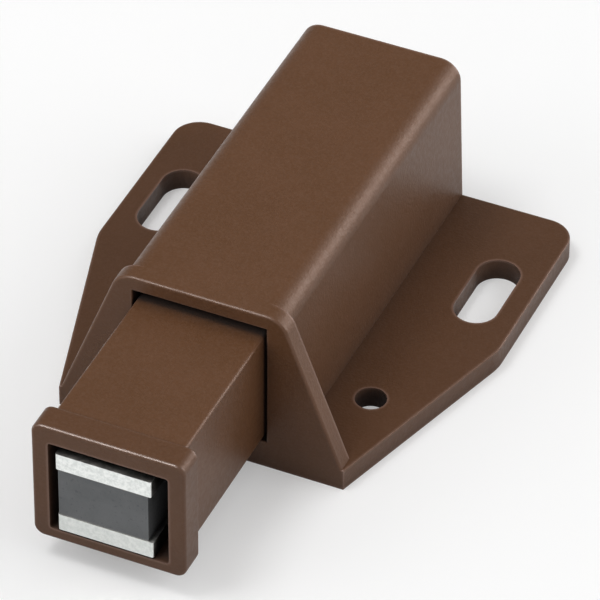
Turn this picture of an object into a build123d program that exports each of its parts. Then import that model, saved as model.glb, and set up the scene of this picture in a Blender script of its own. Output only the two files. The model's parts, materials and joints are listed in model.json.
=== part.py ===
from build123d import *
from math import cos, radians, sin, tan
import os

# Magnetic push catch: a sprung plunger with a magnet in its head slides in a flanged housing.
# Millimetres. X across, Y along the slide (towards the back), Z up from the mounting face.
# The origin is midway between the two fixing slots, on the mounting face.

# ---- driving sizes -------------------------------------------------------------------------

# overall
flange_width = 48.0
body_length = 47.8
body_height = 20.8
plunger_reach = 22.2            # head's front face ahead of the housing's front, at rest
plunger_travel = 15.0

# housing body
body_top_width = 18.7
body_draft = 2.1                # degrees, each side wall
body_edge_radius = 2.4          # long top edges
top_wall = 1.8
side_wall = 1.05                # at the top, where the draft leaves it thinnest
back_wall = 1.8
outer_edge_break = 0.3
window_edge_break = 0.2

# front panel
panel_thickness = 2.1
panel_margin = 0.79             # how far the wings' slope clears the body's rounded edge
panel_corner_radius = 2.7
wing_angle = 20.9               # degrees off vertical
wing_foot_height = 2.0          # where the slope runs out into the flange's edge
window_land = 0.6               # window side stands inside the cavity side
sill_height = 3.45

# mounting flange
flange_thickness = 2.6
flange_corner_setback = 24.9    # front face to where the slanted edge meets the straight side
flange_side_radius = 7.0
flange_back_radius = 3.2
flange_edge_break = 0.2
slot_width = 4.95
slot_length = 11.2
slot_rim = 2.5                  # flange left outside a slot
slot_from_back = 14.4
screw_hole_diameter = 3.5
screw_hole_setback = 11.9       # from the front face
screw_hole_offset = 4.57        # from the body's side

# plunger
window_side_gap = 0.33
window_top_gap = 1.2
window_sill_gap = 0.4
plunger_side_wall = 1.6
plunger_top_wall = 1.7
plunger_floor = 3.4             # the cam track is cut into this
plunger_edge_radius = 0.35
tail_clearance = 5.0            # tail to back wall at full push
socket_web = 2.5                # between the magnet socket and the lightening core
core_diameter = 5.0             # narrower than the coil, which seats round it

# plunger head
head_thickness = 3.3
head_side_overhang = 1.33
head_top_overhang = 0.27
head_bottom_overhang = 1.0
head_corner_radius = 1.2
head_front_edge = 0.35
head_back_edge = 0.25
rim_side = 1.9
rim_top = 2.17
rim_bottom = 1.4
recess_corner_radius = 0.3
pocket_depth = 8.0              # behind the recess, a little narrower, and the socket is deeper still
pocket_wall = 1.1

# magnet pack: it lies loose on its socket's floor, a little to the left
plate_thickness = 2.05
pack_depth = 12.2
pack_left_gap = 0.95            # to the recess in the head
pack_right_gap = 1.75
pack_top_gap = 1.15
pack_bottom_gap = 0.2
socket_gap = 0.1
upper_plate_shift = 0.15        # how much further left it lies than the lower plate
magnet_left_inset = 0.1
magnet_right_inset = 0.6
magnet_front_inset = 0.15
pole_corner_radius = 0.25

# snap arms at the plunger's tail, which stop behind the housing's side ribs
arm_length = 8.0
arm_height = 4.4
arm_slit = 0.8
barb_length = 3.0
barb_proud = 0.65
barb_ramp = 0.45                # how much lower the barb is at the tail
stop_gap = 0.3
side_rib_gap = 0.2

# return spring
spring_diameter = 7.4
spring_wire = 0.6
spring_coils = 7
spring_length = 36.0            # as fitted, at rest
spigot_gap = 0.2
spigot_length = 4.0
seat_depth = 2.0

# latch wire and the heart-shaped cam track that it follows
wire_diameter = 1.2
wire_bend_radius = 1.0
wire_foot = 0.3                 # pivot leg's end above the mounting face
wire_length = 20.0              # pivot leg to tip leg
wire_swing = 9.5                # degrees, at full push
pivot_from_back = 5.3
track_gap = 0.3
track_depth = 1.5
catch_step = 0.5                # how much deeper the catch is than the lanes
catch_stroke = 12.5             # plunger travel at which the wire drops in the catch
tip_gap = 0.3
wire_gap = 0.6                  # shank below the plunger's underside
running_gap = 0.05

# base cover
cover_thickness = 1.0
cover_gap = 0.1
cover_ledge = 1.1               # ledge outside the cavity, each side
cover_back_lip = 1.0
tongue_width = 12.0
tongue_length = 1.0
tongue_thickness = 0.5
peg_diameter = 1.8
peg_height = 3.8
boss_width = 3.1
boss_depth = 3.5
boss_height = 5.8
pivot_boss_diameter = 3.6
pivot_boss_height = 0.5
guide_gap = 0.3
guide_width = 1.2

# leaf spring under the latch wire
leaf_thickness = 0.3
leaf_width = 5.0
leaf_foot_length = 5.0
leaf_length = 11.0
leaf_from_pivot = 4.5           # lifted end, ahead of the wire's pivot
leaf_gap = 0.3
stud_diameter = 1.4
stud_height = 0.65

# ---- places worked out from them -----------------------------------------------------------

back_y = slot_from_back
front_y = back_y - body_length
panel_back_y = front_y + panel_thickness
cavity_back_y = back_y - back_wall

body_top_half = body_top_width / 2
body_foot_half = body_top_half + (body_height - flange_thickness) * tan(radians(body_draft))
cavity_half = body_top_half - side_wall
cavity_top = body_height - top_wall
window_half = cavity_half - window_land

plunger_half = window_half - window_side_gap
plunger_top = cavity_top - window_top_gap
plunger_bottom = sill_height + window_sill_gap
plunger_height = plunger_top - plunger_bottom
head_front_y = front_y - plunger_reach
head_back_y = head_front_y + head_thickness
tail_y = cavity_back_y - tail_clearance - plunger_travel

head_half = plunger_half + head_side_overhang
head_top = plunger_top + head_top_overhang
head_bottom = plunger_bottom - head_bottom_overhang
recess_half = head_half - rim_side
recess_top = head_top - rim_top
recess_bottom = head_bottom + rim_bottom

plate_left = -recess_half + pack_left_gap
plate_right = recess_half - pack_right_gap
pack_top = recess_top - pack_top_gap
pack_bottom = recess_bottom + pack_bottom_gap
pack_back_y = head_front_y + pack_depth
magnet_bottom = pack_bottom + plate_thickness
magnet_top = pack_top - plate_thickness
pocket_half = plunger_half - pocket_wall
socket_half = socket_gap + upper_plate_shift - plate_left
socket_back_y = pack_back_y + socket_gap

spring_seat_y = cavity_back_y - spring_length
spring_room_half = plunger_half - plunger_side_wall
spring_room_bottom = plunger_bottom + plunger_floor
spring_room_top = plunger_top - plunger_top_wall
spring_z = (spring_room_bottom + spring_room_top) / 2
spigot_radius = spring_diameter / 2 - spring_wire - spigot_gap

pivot_y = back_y - pivot_from_back
tip_y = pivot_y - wire_length
wire_z = plunger_bottom - wire_gap - wire_diameter / 2
tip_top = plunger_bottom + track_depth - tip_gap
leaf_end_y = pivot_y - leaf_from_pivot
leaf_start_y = leaf_end_y - leaf_length
stud_y = leaf_start_y + leaf_foot_length / 2
track_width = wire_diameter + 2 * track_gap
cover_front_y = panel_back_y + cover_gap
cover_back_y = back_y - cover_back_lip - cover_gap
cover_half = cavity_half + cover_ledge - cover_gap
peg_x = cavity_half - boss_width / 2
peg_y = cavity_back_y - boss_depth / 2
guide_top = plunger_bottom - guide_gap
guide_x = plunger_half - guide_width
barb_y = tail_y - barb_length
rib_end_y = barb_y - stop_gap
slot_x = flange_width / 2 - slot_rim - slot_width / 2
screw_hole_x = body_foot_half + screw_hole_offset
screw_hole_y = front_y + screw_hole_setback


def across(y):
    """A sketch plane across the slide at y: local x is X, local y is Z, and it faces the front."""
    return Plane(origin=(0, y, 0), x_dir=(1, 0, 0), z_dir=(0, -1, 0))


def block(x0, x1, y0, y1, z0, z1, mode=Mode.ADD):
    """A box between two corners, for ribs, ledges and plain cuts."""
    size = (x1 - x0, y1 - y0, z1 - z0)
    with Locations(((x0 + x1) / 2, (y0 + y1) / 2, (z0 + z1) / 2)):
        Box(*size, mode=mode)


# The wings' slope touches a circle drawn panel_margin outside the body's rounded edge.
slope = radians(wing_angle)
edge_centre_x = body_top_half - body_edge_radius
edge_centre_z = body_height - body_edge_radius
slope_reach = cos(slope) * edge_centre_x + sin(slope) * edge_centre_z + body_edge_radius + panel_margin


def wing_x(z):
    """Half width of the front panel at height z, on the slope."""
    return (slope_reach - sin(slope) * z) / cos(slope)


wing_foot_half = wing_x(wing_foot_height)

# ---- housing -------------------------------------------------------------------------------

# The front panel is made by itself, so that its front edges break before the flange and body join it.
with BuildPart() as front_panel:
    with BuildSketch(across(front_y)):
        with BuildLine():
            Polyline(
                (-wing_foot_half, 0),
                (wing_foot_half, 0),
                (wing_foot_half, wing_foot_height),
                (wing_x(body_height), body_height),
                (-wing_x(body_height), body_height),
                (-wing_foot_half, wing_foot_height),
                close=True,
            )
        make_face()
        fillet(vertices().group_by(Axis.Y)[-1], panel_corner_radius)
        # plunger window
        with Locations((0, (cavity_top + sill_height) / 2)):
            Rectangle(2 * window_half, cavity_top - sill_height, mode=Mode.SUBTRACT)
    extrude(amount=-panel_thickness)
    rim = front_panel.faces().sort_by(Axis.Y)[0].outer_wire().edges()
    fillet(rim.filter_by(lambda e: e.center().Z > wing_foot_height), outer_edge_break)
    window_rim = front_panel.faces().sort_by(Axis.Y)[0].inner_wires()[0].edges()
    fillet(window_rim, window_edge_break)

with BuildPart() as housing:
    # flange plate, flush with the mounting face
    with BuildSketch(Plane.XY):
        with BuildLine():
            Polyline(
                (-wing_foot_half, front_y),
                (wing_foot_half, front_y),
                (flange_width / 2, front_y + flange_corner_setback),
                (flange_width / 2, back_y),
                (-flange_width / 2, back_y),
                (-flange_width / 2, front_y + flange_corner_setback),
                close=True,
            )
        make_face()
        fillet(vertices().group_by(Axis.Y)[1], flange_side_radius)
        fillet(vertices().group_by(Axis.Y)[-1], flange_back_radius)
    extrude(amount=flange_thickness)
    fillet(housing.faces().sort_by(Axis.Z)[-1].edges(), flange_edge_break)

    # body: drafted side walls and two rounded long edges
    with BuildSketch(across(panel_back_y)):
        with BuildLine():
            Polyline(
                (-body_foot_half, flange_thickness / 2),
                (body_foot_half, flange_thickness / 2),
                (body_foot_half, flange_thickness),
                (body_top_half, body_height),
                (-body_top_half, body_height),
                (-body_foot_half, flange_thickness),
                close=True,
            )
        make_face()
        fillet(vertices().group_by(Axis.Y)[-1], body_edge_radius)
    extrude(amount=-(body_length - panel_thickness))
    add(front_panel.part)

    # cavity, open below
    with BuildSketch(across(panel_back_y)):
        with Locations((0, cavity_top / 2)):
            Rectangle(2 * cavity_half, cavity_top)
        fillet(vertices().group_by(Axis.Y)[-1], body_edge_radius - side_wall)
    extrude(amount=-(cavity_back_y - panel_back_y), mode=Mode.SUBTRACT)

    # ledge and tongue slot that take the base cover
    block(
        -cavity_half - cover_ledge, cavity_half + cover_ledge,
        panel_back_y, back_y - cover_back_lip,
        0, cover_thickness, mode=Mode.SUBTRACT,
    )
    block(
        -tongue_width / 2 - cover_gap, tongue_width / 2 + cover_gap,
        panel_back_y - tongue_length, panel_back_y,
        cover_thickness - tongue_thickness - cover_gap, cover_thickness, mode=Mode.SUBTRACT,
    )

    # ribs that guide the plunger's top and sides
    for side in (-1, 1):
        top_rib = sorted((side * guide_x, side * (guide_x - guide_width)))
        side_rib = sorted((side * (plunger_half + side_rib_gap), side * cavity_half))
        boss = sorted((side * (cavity_half - boss_width), side * cavity_half))
        boss_top = cover_thickness + boss_height
        block(*top_rib, panel_back_y, cavity_back_y, plunger_top + guide_gap, cavity_top)
        block(*side_rib, panel_back_y, rib_end_y, spring_z - arm_height / 2, spring_z + arm_height / 2)
        block(*boss, cavity_back_y - boss_depth, cavity_back_y, cover_thickness, boss_top)

    # spring spigot on the back wall
    with BuildSketch(across(cavity_back_y)):
        with Locations((0, spring_z)):
            Circle(spigot_radius)
    extrude(amount=spigot_length)

    # fixing slots, screw holes and the blind holes for the cover's pegs
    with BuildSketch(Plane.XY.offset(flange_thickness)):
        with GridLocations(2 * slot_x, 0, 2, 1):
            SlotOverall(slot_length, slot_width, rotation=90)
        with Locations((-screw_hole_x, screw_hole_y), (screw_hole_x, screw_hole_y)):
            Circle(screw_hole_diameter / 2)
    extrude(amount=-flange_thickness, mode=Mode.SUBTRACT)
    with BuildSketch(Plane.XY.offset(cover_thickness)):
        with Locations((-peg_x, peg_y), (peg_x, peg_y)):
            Circle(peg_diameter / 2 + running_gap)
    extrude(amount=peg_height + tip_gap, mode=Mode.SUBTRACT)

# ---- base cover ----------------------------------------------------------------------------

with BuildPart() as base_cover:
    block(-cover_half, cover_half, cover_front_y, cover_back_y, 0, cover_thickness)
    block(
        -tongue_width / 2, tongue_width / 2,
        panel_back_y - tongue_length + cover_gap, cover_front_y,
        cover_thickness - tongue_thickness, cover_thickness,
    )
    # rails that the plunger slides on
    for side in (-1, 1):
        rail = sorted((side * guide_x, side * (guide_x - guide_width)))
        rail_back_y = cavity_back_y - boss_depth - guide_gap
        block(*rail, cover_front_y, rail_back_y, cover_thickness, guide_top)
    # pegs, the leaf spring's stud and the latch wire's pivot boss
    with BuildSketch(Plane.XY.offset(cover_thickness)):
        with Locations((-peg_x, peg_y), (peg_x, peg_y)):
            Circle(peg_diameter / 2)
    extrude(amount=peg_height)
    with BuildSketch(Plane.XY.offset(cover_thickness)):
        with Locations((0, stud_y)):
            Circle(stud_diameter / 2)
    extrude(amount=stud_height)
    with BuildSketch(Plane.XY.offset(cover_thickness)):
        with Locations((0, pivot_y)):
            Circle(pivot_boss_diameter / 2)
    extrude(amount=pivot_boss_height)
    with BuildSketch(Plane.XY):
        with Locations((0, pivot_y)):
            Circle(wire_diameter / 2 + running_gap)
    extrude(amount=cover_thickness + pivot_boss_height, mode=Mode.SUBTRACT)

# ---- plunger -------------------------------------------------------------------------------


def tip_at(stroke, side):
    """Where the latch wire's tip lies on the plunger after a stroke, in the plunger's rest place."""
    swing = radians(wire_swing) * stroke / plunger_travel
    return (side * wire_length * sin(swing), pivot_y - wire_length * cos(swing) - stroke)


track_start = tip_at(0, 0)
track_catch = (0, tip_y - catch_stroke)
track_in = tip_at(plunger_travel, 1)
track_out = tip_at(plunger_travel, -1)


def lane(start, end):
    """A round-ended groove between two points of the cam track."""
    middle = ((start[0] + end[0]) / 2, (start[1] + end[1]) / 2)
    SlotCenterPoint(middle, end, track_width)


with BuildPart() as plunger:
    # head: a round-cornered flange with soft edges all round
    with BuildSketch(across(head_front_y)):
        with Locations((0, (head_top + head_bottom) / 2)):
            RectangleRounded(2 * head_half, head_top - head_bottom, head_corner_radius)
    extrude(amount=-head_thickness)
    fillet(plunger.faces().sort_by(Axis.Y)[0].edges(), head_front_edge)
    fillet(plunger.faces().sort_by(Axis.Y)[-1].edges(), head_back_edge)

    # bar that slides in the housing
    with BuildSketch(across(head_back_y)):
        with Locations((0, (plunger_top + plunger_bottom) / 2)):
            RectangleRounded(2 * plunger_half, plunger_height, plunger_edge_radius)
    extrude(amount=-(tail_y - head_back_y))

    # recess in the head, the pocket behind it, and the deeper socket that the magnet pack lies in
    with BuildSketch(across(head_front_y)):
        with Locations((0, (recess_top + recess_bottom) / 2)):
            RectangleRounded(2 * recess_half, recess_top - recess_bottom, recess_corner_radius)
    extrude(amount=-head_thickness, mode=Mode.SUBTRACT)
    block(
        -pocket_half, pocket_half, head_front_y, head_front_y + pocket_depth,
        pack_bottom, recess_top, mode=Mode.SUBTRACT,
    )
    block(
        -socket_half, socket_half, head_front_y, socket_back_y,
        pack_bottom, pack_top + socket_gap, mode=Mode.SUBTRACT,
    )

    # spring room open at the tail, the spring's round seat, and the round core ahead of it
    block(
        -spring_room_half, spring_room_half, spring_seat_y + seat_depth, tail_y,
        spring_room_bottom, spring_room_top, mode=Mode.SUBTRACT,
    )
    with BuildSketch(across(spring_seat_y)):
        with Locations((0, spring_z)):
            Circle(spring_diameter / 2 + spigot_gap)
    extrude(amount=-seat_depth, mode=Mode.SUBTRACT)
    with BuildSketch(across(spring_seat_y)):
        with Locations((0, spring_z)):
            Circle(core_diameter / 2)
    extrude(amount=spring_seat_y - socket_back_y - socket_web, mode=Mode.SUBTRACT)

    # snap arms: slits above and below, and a ramped barb at the end of each
    for side in (-1, 1):
        wall = sorted((side * spring_room_half, side * plunger_half))
        for z in (spring_z - arm_height / 2, spring_z + arm_height / 2 - arm_slit):
            block(*wall, tail_y - arm_length, tail_y, z, z + arm_slit, mode=Mode.SUBTRACT)
        barb_half_height = arm_height / 2 - arm_slit
        with BuildSketch(Plane.XY.offset(spring_z - barb_half_height)):
            with BuildLine():
                Polyline(
                    (side * (plunger_half - plunger_side_wall / 2), barb_y),
                    (side * (plunger_half + barb_proud), barb_y),
                    (side * (plunger_half + barb_proud - barb_ramp), tail_y),
                    (side * (plunger_half - plunger_side_wall / 2), tail_y),
                    close=True,
                )
            make_face()
        extrude(amount=2 * barb_half_height)

    # heart-shaped cam track in the underside: two lanes round a heart, and a deeper catch
    with BuildSketch(Plane.XY.offset(plunger_bottom)):
        lane(track_start, track_in)
        lane(track_start, track_out)
        lane(track_in, track_catch)
        lane(track_out, track_catch)
    extrude(amount=track_depth, mode=Mode.SUBTRACT)
    with BuildSketch(Plane.XY.offset(plunger_bottom)):
        lane(track_in, track_catch)
        lane(track_out, track_catch)
    extrude(amount=track_depth + catch_step, mode=Mode.SUBTRACT)

# ---- magnet pack ---------------------------------------------------------------------------


def pole_plate(bottom, shift=0.0):
    """A steel pole plate with eased corners, in the open part, moved to the left by a shift."""
    block(
        plate_left - shift, plate_right - shift, head_front_y, pack_back_y,
        bottom, bottom + plate_thickness,
    )
    fillet(edges().filter_by(Axis.Z), pole_corner_radius)


with BuildPart() as lower_pole_plate:
    pole_plate(pack_bottom)

with BuildPart() as upper_pole_plate:
    pole_plate(magnet_top, upper_plate_shift)

with BuildPart() as magnet:
    block(
        plate_left + magnet_left_inset, plate_right - magnet_right_inset,
        head_front_y + magnet_front_inset, pack_back_y,
        magnet_bottom, magnet_top,
    )

# ---- return spring: round wire, its ends ground flat ---------------------------------------

with BuildPart() as return_spring:
    with BuildLine() as coil:
        Helix(
            pitch=spring_length / spring_coils,
            height=spring_length,
            radius=(spring_diameter - spring_wire) / 2,
            center=(0, spring_seat_y, spring_z),
            direction=(0, 1, 0),
        )
    with BuildSketch(Plane(origin=coil.line @ 0, z_dir=coil.line % 0)):
        Circle(spring_wire / 2)
    sweep(is_frenet=True)
    block(
        -spring_diameter, spring_diameter, spring_seat_y, cavity_back_y,
        spring_z - spring_diameter, spring_z + spring_diameter, mode=Mode.INTERSECT,
    )

# ---- latch wire: pivots in the base cover, its tip rides in the cam track ------------------

with BuildPart() as latch_wire:
    with BuildLine():
        FilletPolyline(
            (0, pivot_y, wire_foot),
            (0, pivot_y, wire_z),
            (0, tip_y, wire_z),
            (0, tip_y, tip_top),
            radius=wire_bend_radius,
        )
    with BuildSketch(Plane.XY.offset(wire_foot)):
        with Locations((0, pivot_y)):
            Circle(wire_diameter / 2)
    sweep()

# ---- leaf spring that holds the wire's tip up in the track ---------------------------------

with BuildPart() as leaf_spring:
    lift = wire_z - wire_diameter / 2 - leaf_gap - leaf_thickness
    with BuildSketch(Plane.YZ.offset(-leaf_width / 2)):
        with BuildLine():
            foot_end_y = leaf_start_y + leaf_foot_length
            Polyline(
                (leaf_start_y, cover_thickness),
                (foot_end_y, cover_thickness),
                (leaf_end_y, lift),
                (leaf_end_y, lift + leaf_thickness),
                (foot_end_y, cover_thickness + leaf_thickness),
                (leaf_start_y, cover_thickness + leaf_thickness),
                close=True,
            )
        make_face()
    extrude(amount=leaf_width)
    with BuildSketch(Plane.XY.offset(cover_thickness)):
        with Locations((0, stud_y)):
            Circle(stud_diameter / 2 + running_gap)
    extrude(amount=leaf_thickness, mode=Mode.SUBTRACT)

# ---- one STEP file per piece ---------------------------------------------------------------

os.makedirs("parts", exist_ok=True)

housing.part.label = "housing"
export_step(housing.part, "parts/housing.step")
base_cover.part.label = "base_cover"
export_step(base_cover.part, "parts/base_cover.step")
plunger.part.label = "plunger"
export_step(plunger.part, "parts/plunger.step")
lower_pole_plate.part.label = "lower_pole_plate"
export_step(lower_pole_plate.part, "parts/lower_pole_plate.step")
upper_pole_plate.part.label = "upper_pole_plate"
export_step(upper_pole_plate.part, "parts/upper_pole_plate.step")
magnet.part.label = "magnet"
export_step(magnet.part, "parts/magnet.step")
return_spring.part.label = "return_spring"
export_step(return_spring.part, "parts/return_spring.step")
latch_wire.part.label = "latch_wire"
export_step(latch_wire.part, "parts/latch_wire.step")
leaf_spring.part.label = "leaf_spring"
export_step(leaf_spring.part, "parts/leaf_spring.step")
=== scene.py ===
import json
from math import cos, pi, radians, sin

import bpy
from mathutils import Euler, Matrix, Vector


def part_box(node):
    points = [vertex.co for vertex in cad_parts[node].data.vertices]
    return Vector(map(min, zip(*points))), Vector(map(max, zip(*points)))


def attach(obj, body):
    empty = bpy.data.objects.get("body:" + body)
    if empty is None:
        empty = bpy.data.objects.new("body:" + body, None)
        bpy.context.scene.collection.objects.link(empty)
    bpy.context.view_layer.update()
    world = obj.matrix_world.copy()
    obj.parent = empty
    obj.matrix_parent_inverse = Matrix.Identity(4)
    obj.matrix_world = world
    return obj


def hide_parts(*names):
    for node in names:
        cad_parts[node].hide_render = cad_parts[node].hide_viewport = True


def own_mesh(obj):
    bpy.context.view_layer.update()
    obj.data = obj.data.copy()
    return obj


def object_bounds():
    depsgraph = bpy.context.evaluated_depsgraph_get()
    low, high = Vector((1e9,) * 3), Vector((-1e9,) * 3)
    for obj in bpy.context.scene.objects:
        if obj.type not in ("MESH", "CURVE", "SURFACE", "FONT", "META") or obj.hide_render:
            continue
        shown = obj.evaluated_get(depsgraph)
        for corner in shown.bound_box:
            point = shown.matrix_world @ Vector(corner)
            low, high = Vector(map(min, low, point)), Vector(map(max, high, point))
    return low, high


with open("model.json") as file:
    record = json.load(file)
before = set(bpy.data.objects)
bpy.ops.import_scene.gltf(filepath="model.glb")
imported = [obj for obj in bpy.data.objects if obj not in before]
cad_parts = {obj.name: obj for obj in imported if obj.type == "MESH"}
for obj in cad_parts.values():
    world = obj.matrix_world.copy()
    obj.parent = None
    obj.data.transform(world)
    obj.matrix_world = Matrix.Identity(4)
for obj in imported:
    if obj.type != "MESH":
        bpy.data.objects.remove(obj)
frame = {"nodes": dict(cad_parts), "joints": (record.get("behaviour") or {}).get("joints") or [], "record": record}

cad_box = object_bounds()
MM = 0.001
# where the plunger's head ends and its bar begins, at rest
HEAD_BACK = -52.3 * MM


# ---- finishes: shader sums and nodes ---------------------------------------------------------

class Signal:
    """A number that varies over a surface. Each operator adds one Math node to its finish."""

    def __init__(self, finish, socket):
        self.finish = finish
        self.socket = socket

    def math(self, operation, *values):
        return self.finish.node("Math", {"operation": operation}, *values)

    def __add__(self, other):
        return self.math("ADD", self, other)

    def __sub__(self, other):
        return self.math("SUBTRACT", self, other)

    def __rsub__(self, other):
        return self.math("SUBTRACT", other, self)

    def __mul__(self, other):
        return self.math("MULTIPLY", self, other)

    def __pow__(self, other):
        return self.math("POWER", self, other)

    __radd__ = __add__
    __rmul__ = __mul__


class Finish:
    """A node material for one of the catch's surfaces."""

    def __init__(self, name):
        self.material = bpy.data.materials.new(name)
        self.material.use_nodes = True
        self.tree = self.material.node_tree
        self.tree.nodes.clear()

    def node(self, kind, settings=None, *values, out=None, **named):
        """Adds a node: its settings first, then its inputs by place or name. Gives one output."""
        made = self.tree.nodes.new("ShaderNode" + kind)
        for key, value in (settings or {}).items():
            setattr(made, key, value)
        inputs = [s for s in made.inputs if s.enabled]
        pairs = list(zip(inputs, values))
        for key, value in named.items():
            label = key.replace("_", " ")
            pairs += [(s, value) for s in inputs if s.name == label][:1]
        for socket, value in pairs:
            if isinstance(value, Signal):
                self.tree.links.new(value.socket, socket)
            elif value is not None:
                socket.default_value = value
        outputs = {s.name: s for s in made.outputs if s.enabled}
        return Signal(self, outputs[out] if out else next(iter(outputs.values()), None))

    def place(self):
        """Where a point lies on the piece, in metres."""
        return self.node("TexCoord", out="Object")

    def noise(self, size, detail=2.0, rough=0.5, stretch=(1, 1, 1)):
        """Cloudy noise, 0 to 1, whose lumps are about size metres across."""
        spread = tuple(k / size for k in stretch)
        where = self.node("Mapping", None, self.place(), Scale=spread)
        return self.node("TexNoise", None, where, Scale=1.0, Detail=detail, Roughness=rough)

    def range(self, value, low, high, to_low=0.0, to_high=1.0):
        """Value from low to high made into to_low to to_high, smoothly, and held beyond them."""
        settings = {"interpolation_type": "SMOOTHSTEP"}
        return self.node("MapRange", settings, value, low, high, to_low, to_high)

    def mix(self, factor, a, b):
        """Colour a where factor is 0 and colour b where it is 1."""
        return self.node("Mix", {"data_type": "RGBA"}, factor, rgb(a), rgb(b))

    def edges(self, radius, low=0.02, high=0.25):
        """1 on the piece's outer and inner edges within radius, and 0 on its flats."""
        eased = self.node("Bevel", {"samples": 8}, radius)
        flat = self.node("NewGeometry", out="Normal")
        agree = self.node("VectorMath", {"operation": "DOT_PRODUCT"}, eased, flat, out="Value")
        return self.range(1 - agree, low, high)

    def open_air(self, reach, low=0.0, high=1.0):
        """1 where nothing stands within reach, falling to 0 deep in a gap or corner."""
        seen = self.node("AmbientOcclusion", {"samples": 8}, Distance=reach, out="AO")
        return self.range(seen, low, high)

    def ridges(self, reach, low=0.0, high=1.0):
        """1 on the piece's own outer edges, within about reach of them, and 0 on its flats."""
        settings = {"samples": 8, "inside": True, "only_local": True}
        solid = self.node("AmbientOcclusion", settings, Distance=reach, out="AO")
        return self.range(1 - solid, low, high)

    def bump(self, height, strength, depth):
        """The surface's relief: height, 0 to 1, stands up to depth metres."""
        return self.node("Bump", None, strength, depth, Height=height)

    def surface(self, **named):
        """Ends the material in one Principled shader with these inputs."""
        shader = self.node("BsdfPrincipled", None, **named)
        self.node("OutputMaterial", None, shader)
        return self.material


def rgb(colour):
    """A colour socket's four numbers from three. Links and full colours pass as they are."""
    return (*colour, 1.0) if isinstance(colour, tuple) and len(colour) == 3 else colour


def brown_plastic():
    """Dark brown moulding with a fine satin spark-eroded grain, paler along its outer edges, where a highlight is
    painted.

    The head, which hands and doors rub, has shiny upper edges. Painted shade darkens the head, and the moulding
    towards its bottom.
    """
    f = Finish("brown_plastic")
    grain = f.noise(0.3 * MM, detail=3.0, rough=0.6)
    pits = f.noise(0.6 * MM, detail=2.0)
    cloud = f.noise(9 * MM, detail=3.0) * 0.7 + f.noise(1.1 * MM) * 0.3
    edge = f.ridges(0.45 * MM, 0.08, 0.4)
    forward = f.node("SeparateXYZ", None, f.place(), out="Y")
    up = f.node("SeparateXYZ", None, f.place(), out="Z")
    on_head = f.range(forward, HEAD_BACK, HEAD_BACK + 0.5 * MM, 1.0, 0.0)
    facing = f.node("SeparateXYZ", None, f.node("NewGeometry", out="Normal"), out="Z")
    polished = f.range(edge * on_head * f.range(facing, 0.15, 0.4), 0.0, 0.2)
    air = f.open_air(5 * MM, 0.2, 0.7)
    body = f.mix(f.range(cloud, 0.3, 0.7), (0.113, 0.0470, 0.0172), (0.126, 0.0537, 0.0222))
    speckled = f.mix(f.range(grain, 0.35, 0.75) * 0.35, body, (0.16, 0.08, 0.045))
    # painted shade: darker towards the bottom, and darker on the head
    shade = f.range(up, 0, 12 * MM, 0.3, 0.0) + on_head * 0.16
    with_painted_shade = f.mix(shade, speckled, (0.045, 0.018, 0.008))
    # painted highlight: the outer edges are mixed towards a pale pinkish brown
    edge_highlit = f.mix(edge * 0.4, with_painted_shade, (0.32, 0.20, 0.16))
    # painted shade: the colour goes to near black deep in gaps, recesses and corners
    colour = f.mix(air, (0.022, 0.009, 0.005), edge_highlit)
    height = grain * 0.7 + pits * 0.3
    return f.surface(
        Base_Color=colour,
        Roughness=f.range(pits, 0.3, 0.7, 0.39, 0.47) - edge * 0.08 + (1 - air) * 0.35,
        Specular_IOR_Level=0.3,
        Coat_Weight=polished,
        Coat_Roughness=0.25,
        Normal=f.bump(height, 0.85, 0.04 * MM),
    )


def pole_steel():
    """Bright plated steel, mottled and faintly brushed, with a painted highlight along its edges, and darker
    towards its foot.
    """
    f = Finish("pole_steel")
    spangle = f.noise(0.55 * MM, detail=4.0, rough=0.7)
    brush = f.noise(0.12 * MM, detail=2.0, stretch=(0.12, 1, 1))
    edge = f.edges(0.2 * MM)
    tone = f.mix(f.range(spangle, 0.35, 0.65), (0.69, 0.72, 0.70), (0.88, 0.90, 0.88))
    up = f.node("SeparateXYZ", None, f.place(), out="Z")
    # darker towards the bottom, so the lower plate is darker than the upper one
    darker_low = f.mix(f.range(up, 6 * MM, 12 * MM, 0.35, 0.0), tone, (0.42, 0.44, 0.42))
    # painted highlight: the edges are mixed towards a paler steel
    bright = f.mix(edge * 0.6, darker_low, (0.92, 0.93, 0.91))
    return f.surface(
        # painted shade: the steel goes to near black deep in the recess and its gaps
        Base_Color=f.mix(f.open_air(3 * MM, 0.25, 0.7), (0.05, 0.05, 0.05), bright),
        Metallic=1.0,
        Roughness=f.range(spangle, 0.3, 0.7, 0.34, 0.48),
        Normal=f.bump(brush * 0.5 + spangle * 0.5, 0.2, 0.02 * MM),
    )


def ferrite():
    """Dark grey sintered ferrite: matte, with fine pale grains and a few pores."""
    f = Finish("ferrite")
    grain = f.noise(0.18 * MM, detail=3.0, rough=0.7)
    cloud = f.noise(3 * MM, detail=3.0)
    pores = f.range(f.noise(0.5 * MM, detail=1.0), 0.62, 0.72)
    edge = f.edges(0.25 * MM)
    tone = f.mix(f.range(cloud, 0.3, 0.7), (0.122, 0.129, 0.134), (0.152, 0.159, 0.164))
    worn = f.mix(edge * 0.35, tone, (0.24, 0.245, 0.25))
    pitted = f.mix(pores * 0.35, worn, (0.06, 0.06, 0.065))
    return f.surface(
        # painted shade: the ferrite goes to near black deep in the recess and its gaps
        Base_Color=f.mix(f.open_air(3 * MM, 0.2, 0.6), (0.02, 0.02, 0.022), pitted),
        Roughness=f.range(grain, 0.3, 0.7, 0.55, 0.75),
        Normal=f.bump(grain - pores * 0.6, 0.4, 0.03 * MM),
    )


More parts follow.
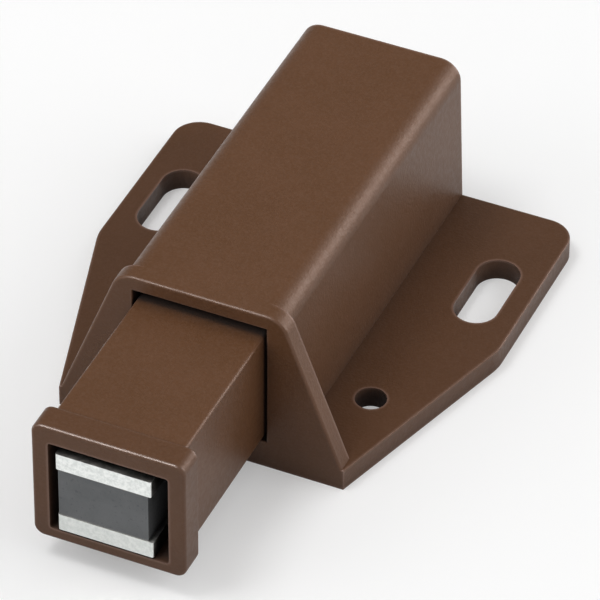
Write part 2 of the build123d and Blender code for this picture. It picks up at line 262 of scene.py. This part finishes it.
def spring_steel():
    """Drawn spring wire and strip: bright grey with fine draw lines."""
    f = Finish("spring_steel")
    lines = f.noise(0.1 * MM, detail=2.0, stretch=(1, 0.1, 1))
    cloud = f.noise(2 * MM, detail=3.0)
    tone = f.mix(f.range(cloud, 0.3, 0.7), (0.42, 0.42, 0.41), (0.58, 0.58, 0.56))
    return f.surface(
        Base_Color=tone,
        Metallic=1.0,
        Roughness=f.range(lines, 0.3, 0.7, 0.28, 0.4),
        Normal=f.bump(lines, 0.2, 0.01 * MM),
    )


FINISHES = {
    "brown_plastic": brown_plastic(),
    "pole_steel": pole_steel(),
    "ferrite": ferrite(),
    "spring_steel": spring_steel(),
}

for piece in frame["record"]["subparts"]:
    node = frame["nodes"][piece["node"]]
    node.data.materials.clear()
    node.data.materials.append(FINISHES[piece["material_slot"]])


# ---- return spring: closed and ground ends -------------------------------------------------------

def coil_points(radius, length, turns, end_turns, wire, steps=20):
    """The middle line of a compression spring along y, its end turns lying close together."""
    total = turns + 2 * end_turns
    open_pitch = (length - wire - 2 * end_turns * wire) / turns
    points = []
    for k in range(round(total * steps) + 1):
        turn = k / steps
        closed = min(turn, end_turns) + max(0.0, turn - end_turns - turns)
        opened = min(max(turn - end_turns, 0.0), turns)
        y = wire / 2 + closed * wire + opened * open_pitch
        angle = 2 * pi * turn
        points.append(Vector((radius * cos(angle), y, radius * sin(angle))))
    return points


def tube(name, points, radius, sides=10):
    """A round wire that follows points, with flat ends."""
    verts, faces = [], []
    for k, point in enumerate(points):
        ahead = points[min(k + 1, len(points) - 1)] - points[max(k - 1, 0)]
        turn = ahead.to_track_quat("Z", "Y")
        for s in range(sides):
            a = 2 * pi * s / sides
            verts.append(point + turn @ Vector((radius * cos(a), radius * sin(a), 0)))
    for k in range(len(points) - 1):
        for s in range(sides):
            n = (s + 1) % sides
            faces.append((k * sides + s, k * sides + n, (k + 1) * sides + n, (k + 1) * sides + s))
    faces.append(tuple(reversed(range(sides))))
    faces.append(tuple(range(len(verts) - sides, len(verts))))
    mesh = bpy.data.meshes.new(name)
    mesh.from_pydata(verts, [], faces)
    for face in mesh.polygons:
        face.use_smooth = len(face.vertices) == 4
    made = bpy.data.objects.new(name, mesh)
    bpy.context.collection.objects.link(made)
    return made


spring_low, spring_high = (Vector(corner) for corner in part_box("return_spring"))
spring_middle = (spring_low + spring_high) / 2
spring_wire = 0.6 * MM
spring_turns = 7
spring_end_turns = 1.25
spring_radius = (spring_high.x - spring_low.x - spring_wire) / 2
spring_length = spring_high.y - spring_low.y
plunger_travel = next(j for j in frame["joints"] if j["name"] == "plunger_push")["range_m"][1]

line = coil_points(spring_radius, spring_length, spring_turns, spring_end_turns, spring_wire)
start = Vector((0, spring_low.y, spring_middle.z))
spring = tube("return_spring_coil", [start + p for p in line], spring_wire / 2)
spring.data.materials.append(FINISHES["spring_steel"])
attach(spring, "housing")
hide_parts("return_spring")
(spring_length - plunger_travel) / spring_length
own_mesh(spring)


# ---- floor, light and camera -----------------------------------------------------------------

def floor():
    """A pale floor that glows a little to the camera and in reflections, more so further away.

    Light that bounces off it finds it darker than it looks, so that it doesn't fill the shade.
    """
    f = Finish("floor")
    rays = f.node("LightPath", out="Is Camera Ray")
    glossy = f.node("LightPath", out="Is Glossy Ray")
    clear = f.node("LightPath", out="Is Transmission Ray")
    seen = f.node("Math", {"operation": "MINIMUM"}, rays + glossy + clear, 1.0)
    cloud = f.noise(60 * MM, detail=2.0)
    pale = f.mix(cloud, (0.70, 0.70, 0.70), (0.72, 0.72, 0.72))
    colour = f.mix(seen, (0.35, 0.35, 0.35), pale)
    away = f.node("VectorMath", {"operation": "LENGTH"}, f.place(), out="Value")
    near, far = 0.1, 1.5
    near_glow, far_glow = 0.28, 0.54
    glow = f.mix(seen * f.range(away, near, far, near_glow, far_glow), (0, 0, 0), (1, 1, 1))
    material = f.surface(
        Base_Color=colour, Roughness=0.9, Specular_IOR_Level=0.1,
        Emission_Color=glow, Emission_Strength=1.0,
    )
    half = 3.0
    mesh = bpy.data.meshes.new("floor")
    mesh.from_pydata(
        [(-half, -half, 0), (half, -half, 0), (half, half, 0), (-half, half, 0)],
        [], [(0, 1, 2, 3)],
    )
    mesh.materials.append(material)
    plane = bpy.data.objects.new("floor", mesh)
    just_under = -0.02 * MM
    plane.location.z = just_under
    bpy.context.collection.objects.link(plane)


def softbox(name, azimuth, elevation, distance, size, level, colour=(1, 1, 1), sheen_only=False):
    """A square lamp aimed at the catch.

    Level is how bright it alone makes white card that faces it. A sheen_only lamp lights no matte
    surface and shows only as a reflection.
    """
    a, e = radians(azimuth), radians(elevation)
    toward = Vector((sin(a) * cos(e), -cos(a) * cos(e), sin(e)))
    lamp = bpy.data.lights.new(name, "AREA")
    lamp.shape = "SQUARE"
    lamp.size = size
    lamp.energy = level * pi ** 2 * distance ** 2
    lamp.color = colour
    made = bpy.data.objects.new(name, lamp)
    middle = (cad_box[0] + cad_box[1]) / 2
    made.location = middle + toward * distance
    made.rotation_euler = (-toward).to_track_quat("-Z", "Y").to_euler()
    made.visible_diffuse = not sheen_only
    bpy.context.collection.objects.link(made)


def studio_world(level, ceiling):
    """Even light of this level from all round.

    The camera sees white everywhere. Reflections see a white backdrop that fades to a ceiling as
    bright as ceiling says.
    """
    world = bpy.data.worlds.new("studio")
    bpy.context.scene.world = world
    world.use_nodes = True
    nodes, links = world.node_tree.nodes, world.node_tree.links
    nodes.clear()
    path = nodes.new("ShaderNodeLightPath")
    first, seen = (nodes.new("ShaderNodeMath") for _ in range(2))
    first.operation = "MAXIMUM"
    seen.operation = "MAXIMUM"
    links.new(path.outputs["Is Camera Ray"], first.inputs[0])
    links.new(path.outputs["Is Glossy Ray"], first.inputs[1])
    links.new(first.outputs[0], seen.inputs[0])
    links.new(path.outputs["Is Transmission Ray"], seen.inputs[1])
    direction = nodes.new("ShaderNodeTexCoord")
    upward = nodes.new("ShaderNodeSeparateXYZ")
    links.new(direction.outputs["Generated"], upward.inputs[0])
    backdrop = nodes.new("ShaderNodeMapRange")
    backdrop.interpolation_type = "SMOOTHSTEP"
    links.new(upward.outputs["Z"], backdrop.inputs["Value"])
    backdrop.inputs["From Min"].default_value = -0.02
    backdrop.inputs["From Max"].default_value = 0.06
    backdrop.inputs["To Min"].default_value = 1.0
    backdrop.inputs["To Max"].default_value = ceiling
    strength = nodes.new("ShaderNodeMapRange")
    links.new(seen.outputs[0], strength.inputs["Value"])
    strength.inputs["To Min"].default_value = level
    shown = nodes.new("ShaderNodeMath")
    shown.operation = "MAXIMUM"
    links.new(backdrop.outputs[0], shown.inputs[0])
    links.new(path.outputs["Is Camera Ray"], shown.inputs[1])
    links.new(shown.outputs[0], strength.inputs["To Max"])
    background = nodes.new("ShaderNodeBackground")
    background.inputs["Color"].default_value = (1, 1, 1, 1)
    links.new(strength.outputs[0], background.inputs["Strength"])
    output = nodes.new("ShaderNodeOutputWorld")
    links.new(background.outputs[0], output.inputs["Surface"])


def camera():
    """A long lens, a little to the right and well above, aimed near the catch's middle."""
    made = bpy.data.objects.new("camera", bpy.data.cameras.new("camera"))
    made.data.sensor_width = 36
    made.data.lens = 345.5
    a, e = radians(24.46), radians(40.09)
    back = Vector((sin(a) * cos(e), -cos(a) * cos(e), sin(e)))
    made.location = Vector((0, -18.4, 10.0)) * MM + back * 616.5 * MM
    aim = (-back).to_track_quat("-Z", "Y")
    nudge = Euler((radians(-0.0806), radians(-0.413), 0)).to_quaternion()
    made.rotation_mode = "QUATERNION"
    made.rotation_quaternion = aim @ nudge
    bpy.context.collection.objects.link(made)
    bpy.context.scene.camera = made


floor()
# name, azimuth, elevation, distance, size, level, colour
softbox("overhead", -57, 68, 0.9, 0.3, 0.28)
softbox("back right", 145, 32, 1.0, 0.6, 0.10)
softbox("left", -52, 27, 1.0, 0.6, 0.16)
softbox("right", 98, 36, 1.0, 0.6, 0.23)
softbox("right sheen", 136, 13, 1.0, 0.5, 0.56, (1, 0.88, 0.82), sheen_only=True)
softbox("front sheen", -30, 48, 1.0, 0.5, 1.35, (1, 0.92, 0.88), sheen_only=True)
studio_world(0.51, 0.25)
camera()
bpy.context.scene.view_settings.view_transform = "Standard"
